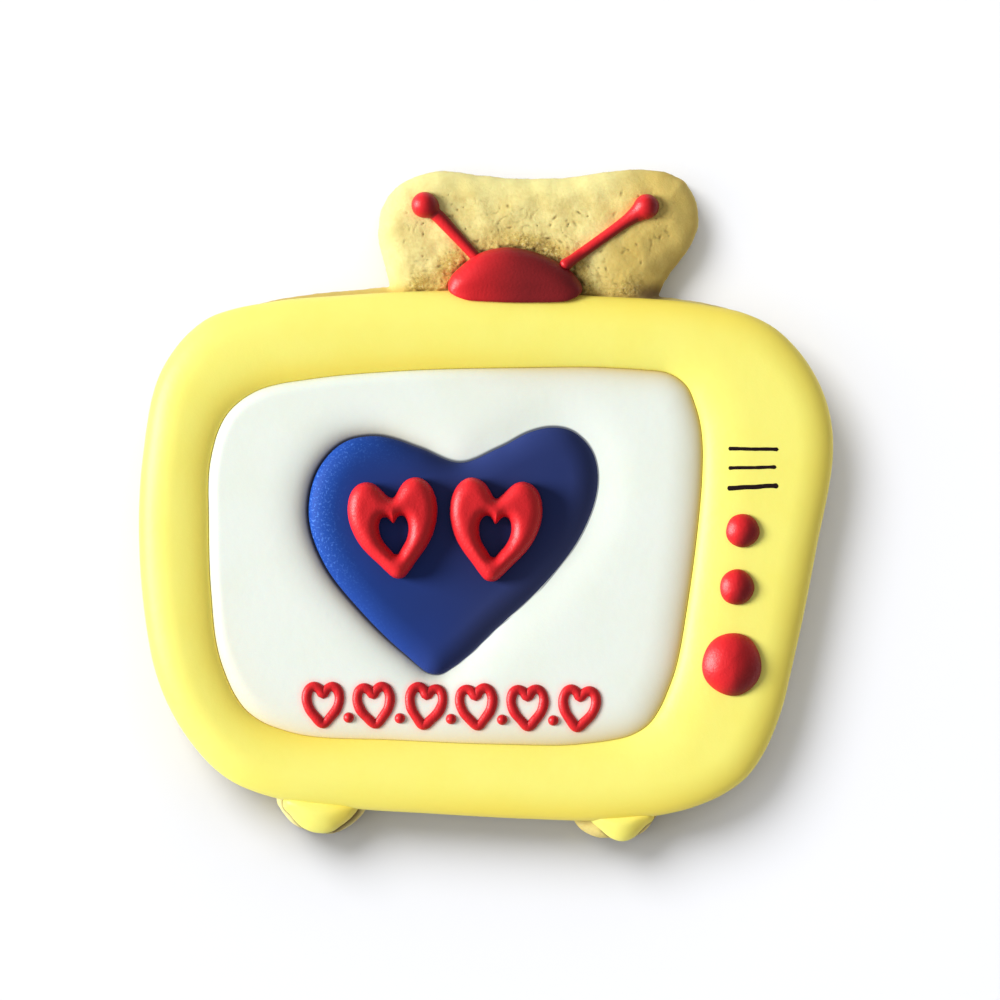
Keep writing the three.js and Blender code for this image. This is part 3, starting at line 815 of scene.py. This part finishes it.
def make_biscuit(look):
    rim = softened(spaced(chained(section("biscuit", BISCUIT_TOP / 2)), RIM_POINTS), 2)
    out = normals_of(rim)
    rim = rim + out * (0.06 * rough(rim, 2.4, 6) + 0.04 * rough(rim, 0.8, 7))[:, None]
    points = biscuit_points(rim, np.random.default_rng(11))
    plan = np.vstack([rim, points])
    height, masks = biscuit_surface(plan, distance(plan, rim))
    rings = wall_rings(rim, out, height[:RIM_POINTS])
    foot = rings[0][:, :2]
    under = well_inside(grid_points(4.0, (-48, -48), (49, 49)), foot, 2)
    top_start = len(rings) * RIM_POINTS
    under_start = top_start + len(plan)
    faces = ring_faces(len(rings) + 1, RIM_POINTS, False)
    faces += [[top_start + v for v in face] for face in filled(rim, points)]
    for face in filled(foot, under):
        faces.append([v if v < RIM_POINTS else under_start + v - RIM_POINTS for v in face[::-1]])
    vertices = np.vstack([*rings, at(plan, height), at(under, 0)])
    for key, mask in masks.items():
        masks[key] = np.concatenate([np.zeros(top_start), mask, np.zeros(len(under))])
    # Painted shade, darker towards the bottom of the side wall
    level = vertices[:, 2] / BISCUIT_TOP
    masks["biscuit_shade"] = np.maximum(masks["biscuit_shade"], 0.5 * smoothstep((0.62 - level) / 0.6))
    add_piece("baked_biscuit", vertices, faces, look, "biscuit", ["biscuit"], masks)


# The yellow cabinet

def yellow_top(points):
    outer = round_over(distance(points, cabinet_loop) / CABINET_SHOULDER)
    inner = round_over(distance(points, screen_loop) / CABINET_INNER_SHOULDER)
    crest = CREASE_RISE + (YELLOW_CREST - BISCUIT_TOP - CREASE_RISE) * inner
    swell = 0.05 * outer * inner * rough(points, 14, 21)
    return BISCUIT_TOP + CABINET_BELLY + (crest - CABINET_BELLY) * outer + swell


def make_cabinet(look):
    vertices, faces = band_of_icing(cabinet_loop, screen_loop, BISCUIT_TOP, CABINET_BELLY, yellow_top)
    plan = vertices[:, :2]
    outer, inner = distance(plan, cabinet_loop), distance(plan, screen_loop)
    # Painted shade: deeper yellow near the outer edge on the right and lower sides, and near the inner edge
    # on the left and upper sides
    right = on_side(plan, -20)
    yellow_shade = 0.8 * np.exp(-((outer / 3) ** 2)) * right + 0.7 * np.exp(-((inner / 2.8) ** 2)) * (1 - right)
    add_piece("cabinet_icing", vertices, faces, look, "yellow_icing", ["yellow_icing"], {"yellow_shade": yellow_shade})


# The white screen

GROOVE_DEPTH = 1.4  # the hollow round the blue heart, deepest at its left
GROOVE_WIDTH = 1.15
HEART_EDGE = HEART_FLOOR - 0.6  # where the blue heart is widest
HEART_FOOT = HEART_FLOOR - GROOVE_DEPTH


def to_left_of_heart(points):
    """1 at the blue heart's left and lower left sides, 0 at its right side."""
    x, y = (points - SCREEN_MIDDLE).T
    turn = np.arctan2(y, x) - math.radians(185)
    return smoothstep(0.6 + 0.8 * np.cos(turn))


def on_side(points, azimuth, middle=0.5, contrast=0.9):
    """1 where a point lies to that side of the screen's middle, 0 on the other side."""
    x, y = (points - SCREEN_MIDDLE).T
    return smoothstep(middle + contrast * np.cos(np.arctan2(y, x) - math.radians(azimuth)))


def white_top(points):
    first, last = SCREEN_SHOULDERS
    rim = round_over(distance(points, screen_loop) / (first + (last - first) * on_side(points, -45)))
    outside = np.where(inside(points, heart_loop), 0, soft_distance(points, heart_loop))
    depth = GROOVE_DEPTH * (0.12 + 0.88 * to_left_of_heart(points))
    dip = HEART_DIP * np.exp(-((outside / 3.5) ** 2)) + depth * np.exp(-outside / GROOVE_WIDTH)
    swell = 0.04 * rough(points, 12, 22)
    return BISCUIT_TOP + CREASE_RISE + (WHITE_RISE - CREASE_RISE + swell) * rim - dip


def make_screen(look):
    inward = SCREEN_MIDDLE - screen_loop
    edge = screen_loop + inward * 0.02 / np.linalg.norm(inward, axis=1)[:, None]
    length = np.linalg.norm(heart_loop - SCREEN_MIDDLE, axis=1)[:, None]
    under = heart_loop + (SCREEN_MIDDLE - heart_loop) * np.minimum(0.6 / length, 0.5)
    rings = 72
    shares = 0.5 - 0.5 * np.cos(np.arange(rings + 1) / rings * np.pi)
    places = [edge + (under - edge) * share for share in shares]
    heights = white_top(np.vstack(places))
    stack = [at(edge, BISCUIT_TOP)]
    stack += [at(p, heights[k * SPOKES : (k + 1) * SPOKES]) for k, p in enumerate(places)]
    ends = [[*SCREEN_MIDDLE, BISCUIT_TOP], [*SCREEN_MIDDLE, HEART_FOOT]]
    vertices, faces = stacked(stack, ends)
    plan = vertices[:, :2]
    row = np.vstack(list(row_paths()))
    gap = np.linalg.norm(plan - row[nearest_of(plan, row)], axis=1)
    rim = distance(plan, screen_loop)
    heart_gap = distance(plan, heart_loop)
    # The painted shade and dye bleed at the heart's edge is widest on the left and top
    blue_bleed_and_shade_width = 0.08 + np.maximum(0.37 * on_side(plan, 180, 0, 1), 0.28 * on_side(plan, 105, 0, 1))
    masks = {
        "bleed": np.exp(-((np.maximum(gap - 0.5 * ROW_LINE, 0) / 0.5) ** 2)),
        # partly a stain from the yellow icing, partly painted shade on the screen's right side
        "stain_and_shade": 0.08 * np.exp(-rim / 0.4) + 0.85 * np.exp(-rim / 1.5) * on_side(plan, 5, 0.25, 0.8),
        "creamed": 0.75 * np.exp(-rim / 2) * on_side(plan, -98, -0.1, 1),
        # painted shade in the groove on the blue heart's left
        "groove_shade": 0.75 * np.exp(-((heart_gap / 1.6) ** 2)) * on_side(plan, 185, 0.2, 0.7),
        # partly blue dye bleed, partly painted shade at the heart's edge
        "blue_bleed_and_shade": 0.9 * np.exp(-((heart_gap / blue_bleed_and_shade_width) ** 4)),
    }
    add_piece("screen_icing", vertices, faces, look, "white_icing", ["white_icing"], masks)


def heart_points(middle, size, tilt):
    """The points of a heart's outline, anticlockwise from its notch."""
    right = [(x * size[0], y * size[1]) for x, y in HALF_HEART]
    left = [(-x, y) for x, y in right]
    whole = np.array([(0, 0.3 * size[1]), *left, (0, -0.5 * size[1]), *right[::-1]])
    turn = np.array([[math.cos(tilt), math.sin(tilt)], [-math.sin(tilt), math.cos(tilt)]])
    return middle + whole @ turn


def row_paths():
    """The middle lines of the row's small open hearts."""
    for k in range(ROW_HEARTS):
        middle = ROW_FROM + (ROW_TO - ROW_FROM) * k / (ROW_HEARTS - 1)
        points = heart_points(middle, ROW_HEART_SIZE, 0.12 * math.sin(2.3 * k))
        yield spaced(evenly(points, 240), 96)


def bead(path, widths, surface, sides=16):
    """A closed bead of icing along a loop, round on top and sunk a little into what it lies on."""
    out = normals_of(path)
    height = surface(path)
    rings = []
    for k in range(sides):
        angle = 2 * np.pi * k / sides
        up = 0.42 if math.sin(angle) >= 0 else 0.4
        across = 0.5 * math.cos(angle) * widths
        rings.append(at(path + out * across[:, None], height + up * math.sin(angle) * widths))
    return stacked(rings)


def joined(parts):
    """Several sets of vertices and faces as one."""
    vertices, faces = [], []
    start = 0
    for some, their_faces in parts:
        vertices.append(some)
        faces += [[start + v for v in face] for face in their_faces]
        start += len(some)
    return np.vstack(vertices), faces


def small_dot(middle, radius, surface):
    edge = middle + radius * directions(once_round(24))
    level = surface(middle[None])[0]

    def top(points):
        share = np.linalg.norm(points - middle, axis=1) / radius
        return level + 1.1 * radius * np.sqrt(np.clip(1 - share**2, 0, 1))

    return drop_of_icing(edge, middle, level - 0.2, 0.2, top, rings=10, tuck=0.1)


def make_row(look):
    parts = []
    for k, path in enumerate(row_paths()):
        widths = ROW_LINE * (1 + 0.12 * rough(path, 1.6, 30 + k))
        parts.append(bead(path, widths, white_top))
    for k in range(ROW_HEARTS - 1):
        middle = ROW_FROM + (ROW_TO - ROW_FROM) * (k + 0.5) / (ROW_HEARTS - 1)
        middle = middle - np.array([0, ROW_DOT_DROP])
        parts.append(small_dot(middle, ROW_DOT_RADIUS, white_top))
    add_piece("piped_row", *joined(parts), look, "red_icing", ["white_icing"])


# The blue heart and the open red hearts

def blue_top(points):
    depth = soft_distance(points, heart_loop)
    share = 0.85 * round_over(depth / HEART_SHOULDER) + 0.15 * round_over(depth / 13)
    swell = 0.05 * rough(points, 8, 23) * share
    return HEART_EDGE + (HEART_TOP - HEART_EDGE) * share + swell


def make_blue_heart(look):
    belly = HEART_EDGE - HEART_FOOT
    vertices, faces = drop_of_icing(heart_loop, SCREEN_MIDDLE, HEART_FOOT, belly, blue_top, rings=90)
    depth = distance(vertices[:, :2], heart_loop)
    x, y = vertices[:, :2].T
    left = smoothstep(-0.07 * (x + 6))
    level = (0.45 + 0.55 * smoothstep((y + 14) / 12)) * (1 - 0.25 * smoothstep((y - 1) / 6))
    masks = {
        # partly painted highlight along the lit left edge, partly crust
        "crust_and_highlight": (1 - smoothstep((depth - 0.5) / 6)) * left * level,
        # painted shade, darker towards the right
        "blue_right_shade": smoothstep((x + 0.3 * y + 22) / 20),
        # painted light in the shade along the lower right edge
        "blue_edge_lift": 0.9 * np.exp(-((depth / 3.5) ** 2)) * on_side(vertices[:, :2], -30, -0.1, 1.2),
    }
    add_piece("blue_heart_icing", vertices, faces, look, "blue_icing", ["blue_heart"], masks)


def make_red_heart(side, look):
    node = f"red_heart_{side}"
    hole_middle = RED_HEARTS[side] - np.array([0, 0.2 * RED_HEART_LINE])
    outer = outline(node, hole_middle, RED_HEART_SIDES, 360)
    inner = outline(node, hole_middle, RED_HEART_SIDES, 360, nearest=True)
    floor, crest = low(node)[2], high(node)[2]
    edge = floor + RED_HEART_BELLY
    foot = floor - 0.15

    def top(points):
        share = round_over(soft_distance(points, outer, inner) / (0.45 * RED_HEART_LINE))
        swell = 0.06 * rough(points, 2.4, 25) * share + 0.012 * rough(points, 0.5, 26)
        return edge + (crest - edge) * share + swell

    band = band_of_icing(outer, inner, foot, edge - foot, top, rings=36, tuck=0.2)
    add_piece(f"open_heart_{side}", *band, look, "red_icing", [node])


# Knobs, aerials and feet

def make_knob(name, look):
    node = f"knob_{name}"
    lowest, highest = low(node), high(node)
    middle = (lowest + highest)[:2] / 2
    radii = (highest - lowest)[:2] / 2
    turns = once_round(120)
    wobble = 1 + 0.012 * np.sin(3 * turns + radii[0]) + 0.01 * np.sin(5 * turns + middle[1])
    edge = middle + radii * directions(turns) * wobble[:, None]
    level = yellow_top(middle[None])[0]
    sunk = 0.7  # how far its foot lies in the yellow icing

    def top(points):
        share = cap(distance(points, edge) / radii.min())
        lowest_top = level + KNOB_BELLY
        return lowest_top + (highest[2] - lowest_top) * share + 0.015 * rough(points, 0.9, 27)

    vertices, faces = drop_of_icing(edge, middle, level - sunk, KNOB_BELLY + sunk, top, rings=32)
    # Painted shade: darker red towards the knob's lower right, away from the light
    x, y = ((vertices[:, :2] - middle) / radii).T
    shade_from = 0.05 if name == "large" else -0.2
    red_shade = 0.75 * smoothstep((0.8 * x - 0.6 * y - shade_from) / 0.75)
    add_piece(f"knob_{name}_icing", vertices, faces, look, "red_icing", [node], {"red_shade": red_shade})


def base_top(points):
    """The aerial base: one dome over an edge that lies low on the biscuit and higher on the cabinet."""
    edge, crest = BISCUIT_TOP + 1.0, high("aerial_base")[2]
    on_cabinet = smoothstep((31 - points[:, 1]) / 2.5)
    edge = edge + (YELLOW_CREST - 0.2 - edge) * on_cabinet
    own = edge + (crest - edge) * round_over(soft_distance(points, base_loop) / BASE_SHOULDER)
    under = np.where(inside(points, cabinet_loop), yellow_top(points), BISCUIT_TOP)
    return np.maximum(own, under + 0.25) + 0.02 * rough(points, 3, 28)


def make_base(look):
    floor = BISCUIT_TOP - 0.5
    vertices, faces = drop_of_icing(base_loop, BASE_MIDDLE, floor, 1.2, base_top, rings=44)
    # Painted shade: darker red towards the base's right end
    red_shade = 0.9 * smoothstep((vertices[:, 0] + 3.5) / 9.5)
    add_piece("aerial_base_icing", vertices, faces, look, "red_icing", ["aerial_base"], {"red_shade": red_shade})


def aerial_profile(shape, length):
    """Steps along an aerial from the ball's middle, and its half thickness at each."""
    radius = shape["radius"]
    first_rod, rod = np.array(shape["widths"]) / 2
    steps = np.concatenate([
        -radius * np.cos(np.linspace(0, np.pi / 2, 14)[1:]),
        np.linspace(0, length, 70)[1:],
        length + rod * np.sin(np.linspace(0, np.pi / 2, 7)[1:-1]),
    ])
    head = np.sqrt(np.clip(radius**2 - steps**2, 0, None))
    taper = first_rod + (rod - first_rod) * smoothstep(steps / length)
    neck = shape["neck"] * np.exp(-np.maximum(steps - 0.6 * radius, 0) / 1.3)
    flare = (taper + neck) * (steps > 0)
    tail = np.sqrt(np.clip(1 - (np.maximum(steps - length, 0) / rod) ** 2, 0, 1))
    bulb = 1 + shape["bulb"] * np.exp(-(((steps - length) / 0.8) ** 2))
    return steps, np.maximum(head, flare * tail * bulb)


def make_aerial(side, look):
    shape = AERIALS[side]
    ball, first, end = (np.array(shape[key], float) for key in ("ball", "start", "end"))
    radius, rod = shape["radius"], shape["widths"][1] / 2
    length = np.linalg.norm(end - first)
    along = (end - first) / length
    steps, size = aerial_profile(shape, length)
    level = BISCUIT_TOP + 0.45 * radius
    rod_level = BISCUIT_TOP + 0.7
    sink = smoothstep(steps / (1.5 * radius))
    lift = shape["lift"] * smoothstep((steps - 0.75 * length) / (0.25 * length))
    middles = ball + along * steps[:, None] + (first - ball) * sink[:, None]
    centres = at(middles, level + (rod_level - level) * sink + lift)
    turns = once_round(28)
    ring = np.column_stack([along[1] * np.cos(turns), -along[0] * np.cos(turns), np.sin(turns)])
    rings = centres[:, None] + size[:, None, None] * ring
    ends = [[*(ball - along * radius), level], [*(end + along * rod), rod_level + shape["lift"]]]
    vertices, faces = stacked(rings, ends)
    # Painted shade: darker red on the side of the ball and rod away from the light
    away = np.where(steps[:, None] < radius, (rings[..., 0] - ball[0]) / radius, -np.cos(turns))
    red_shade = 0.8 * smoothstep((away - 0.1) / 0.6)
    masks = {"red_shade": np.append(red_shade.ravel(), [0, 0])}
    add_piece(f"aerial_{side}_icing", vertices, faces, look, "red_icing", [f"aerial_{side}"], masks)


def foot_edge(side):
    """The edge of a foot's icing."""
    return outline(f"foot_icing_{side}", FOOT_MIDDLES[side], FOOT_SIDES, 240)


def make_foot(side, look):
    node = f"foot_icing_{side}"
    edge = foot_edge(side)
    floor = low(node)[2]

    def top(points):
        depth = soft_distance(points, edge)
        return floor + 0.5 + 1.1 * round_over(depth / 2.2) + 0.3 * np.minimum(depth, 2.2)

    vertices, faces = drop_of_icing(edge, FOOT_MIDDLES[side], floor - 0.2, 0.6, top, rings=40, tuck=0.2)
    # Painted shade: deeper yellow on the right side of the foot, away from the light
    yellow_shade = 0.85 * smoothstep((vertices[:, 0] - FOOT_MIDDLES[side][0] + 1) / 5)
    add_piece(f"foot_{side}_icing", vertices, faces, look, "yellow_icing", [node], {"yellow_shade": yellow_shade})


# Pen lines on the yellow icing

def pen_line(ends, width, wave, seed):
    """A flat stroke of food colour that follows the icing, a little thicker at its two ends."""
    start, end = np.array(ends[0]), np.array(ends[1])
    steps = np.linspace(0, 1, 60)
    length = np.linalg.norm(end - start)
    along = (end - start) / length
    across = np.array([-along[1], along[0]])
    path = start + (end - start) * steps[:, None]
    path = path + across * (wave * rough(path, 2.2, seed))[:, None]
    ends_thicker = 1 + 0.25 * np.exp(-((np.minimum(steps, 1 - steps) * length / 0.5) ** 2))
    half = 0.5 * width * ends_thicker * (1 + 0.12 * rough(path, 0.7, seed + 1))
    end_radius = 0.5 * width
    half = np.maximum(half * round_over(np.minimum(steps, 1 - steps) * length / end_radius), 0.02)
    lines = []
    for share, up in PEN_PROFILE:
        place = path + across * (share * half)[:, None]
        lines.append(at(place, yellow_top(place) + up))
    vertices = np.stack(lines, 1).reshape(-1, 3)
    sides = len(PEN_PROFILE)
    last = len(vertices) - sides
    faces = ring_faces(len(steps), sides, False)
    faces += [list(range(sides))[::-1], list(range(last, last + sides))]
    return vertices, faces


def make_pen_lines(look):
    parts = [pen_line(seed=40 + 3 * k, **line) for k, line in enumerate(PEN_LINES)]
    add_piece("pen_lines", *joined(parts), look, "food_pen")


# The stage: floor, light and camera

def make_floor():
    look = Look("floor", (226, 227, 231), 0.9)
    half = 2500
    mesh = bpy.data.meshes.new("floor")
    corners = [(-half, -half, 0), (half, -half, 0), (half, half, 0), (-half, half, 0)]
    mesh.from_pydata([[c * MM for c in corner] for corner in corners], [], [[0, 1, 2, 3]])
    mesh.materials.append(look.material)
    floor = bpy.data.objects.new("floor", mesh)
    bpy.context.scene.collection.objects.link(floor)
    floor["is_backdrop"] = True
    stage = bpy.data.collections.new("stage")
    stage.objects.link(floor)
    return stage


def make_light(name, azimuth, elevation, spread, strength, receivers, blockers=None):
    """A round soft light that lights what is in the collection.

    Azimuth is anticlockwise from +X, spread is how wide the light looks, and a white face that points at
    a light of strength 1 is just white.
    """
    away = 5
    light = bpy.data.lights.new(name, "AREA")
    light.shape = "DISK"
    light.size = 2 * away * math.tan(math.radians(spread / 2))
    light.energy = strength * (math.pi * away) ** 2
    lamp = bpy.data.objects.new(name, light)
    turn, tilt = math.radians(azimuth), math.radians(elevation)
    back = Vector((math.cos(turn) * math.cos(tilt), math.sin(turn) * math.cos(tilt), math.sin(tilt)))
    lamp.location = back * away
    lamp.rotation_mode = "QUATERNION"
    lamp.rotation_quaternion = back.to_track_quat("Z", "Y")
    bpy.context.scene.collection.objects.link(lamp)
    lamp.light_linking.receiver_collection = receivers
    lamp.light_linking.blocker_collection = blockers


def make_sky(strength):
    world = bpy.data.worlds.new("sky")
    world.use_nodes = True
    world.node_tree.nodes["Background"].inputs["Color"].default_value = (1, 1, 1, 1)
    world.node_tree.nodes["Background"].inputs["Strength"].default_value = strength
    bpy.context.scene.world = world


def make_camera():
    camera = bpy.data.cameras.new("camera")
    camera.sensor_width = SENSOR_WIDTH
    camera.lens = SENSOR_WIDTH * VIEW_DISTANCE / VIEW_WIDTH
    camera.clip_end = 10
    view = bpy.data.objects.new("camera", camera)
    view.location = Vector((*VIEW_MIDDLE, VIEW_DISTANCE + VIEW_LEVEL)) * MM
    bpy.context.scene.collection.objects.link(view)
    bpy.context.scene.camera = view


make_biscuit(dough_look())
yellow, white, blue, red = yellow_look(), white_look(), blue_look(), red_look()
make_cabinet(yellow)
make_screen(white)
make_row(red)
make_blue_heart(blue)
for side in ("left", "right"):
    make_red_heart(side, red)
    make_foot(side, yellow)
    make_aerial(side, red)
for name in ("top", "middle", "large"):
    make_knob(name, red)
make_base(red)
make_pen_lines(pen_look())

stage = make_floor()
make_light("key", *PALE_LIGHT, pale, shading)
make_light("low_key", *DEEP_LIGHT, deep)
for name, light in FLOOR_LIGHTS.items():
    make_light(f"floor_{name}", *light, stage)
make_sky(SKY_STRENGTH)
make_camera()
bpy.context.scene.view_settings.view_transform = "Standard"

boxes = {"cad": cad_box, "visual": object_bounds()}
{name: [list(corner) for corner in box] for name, box in boxes.items()}
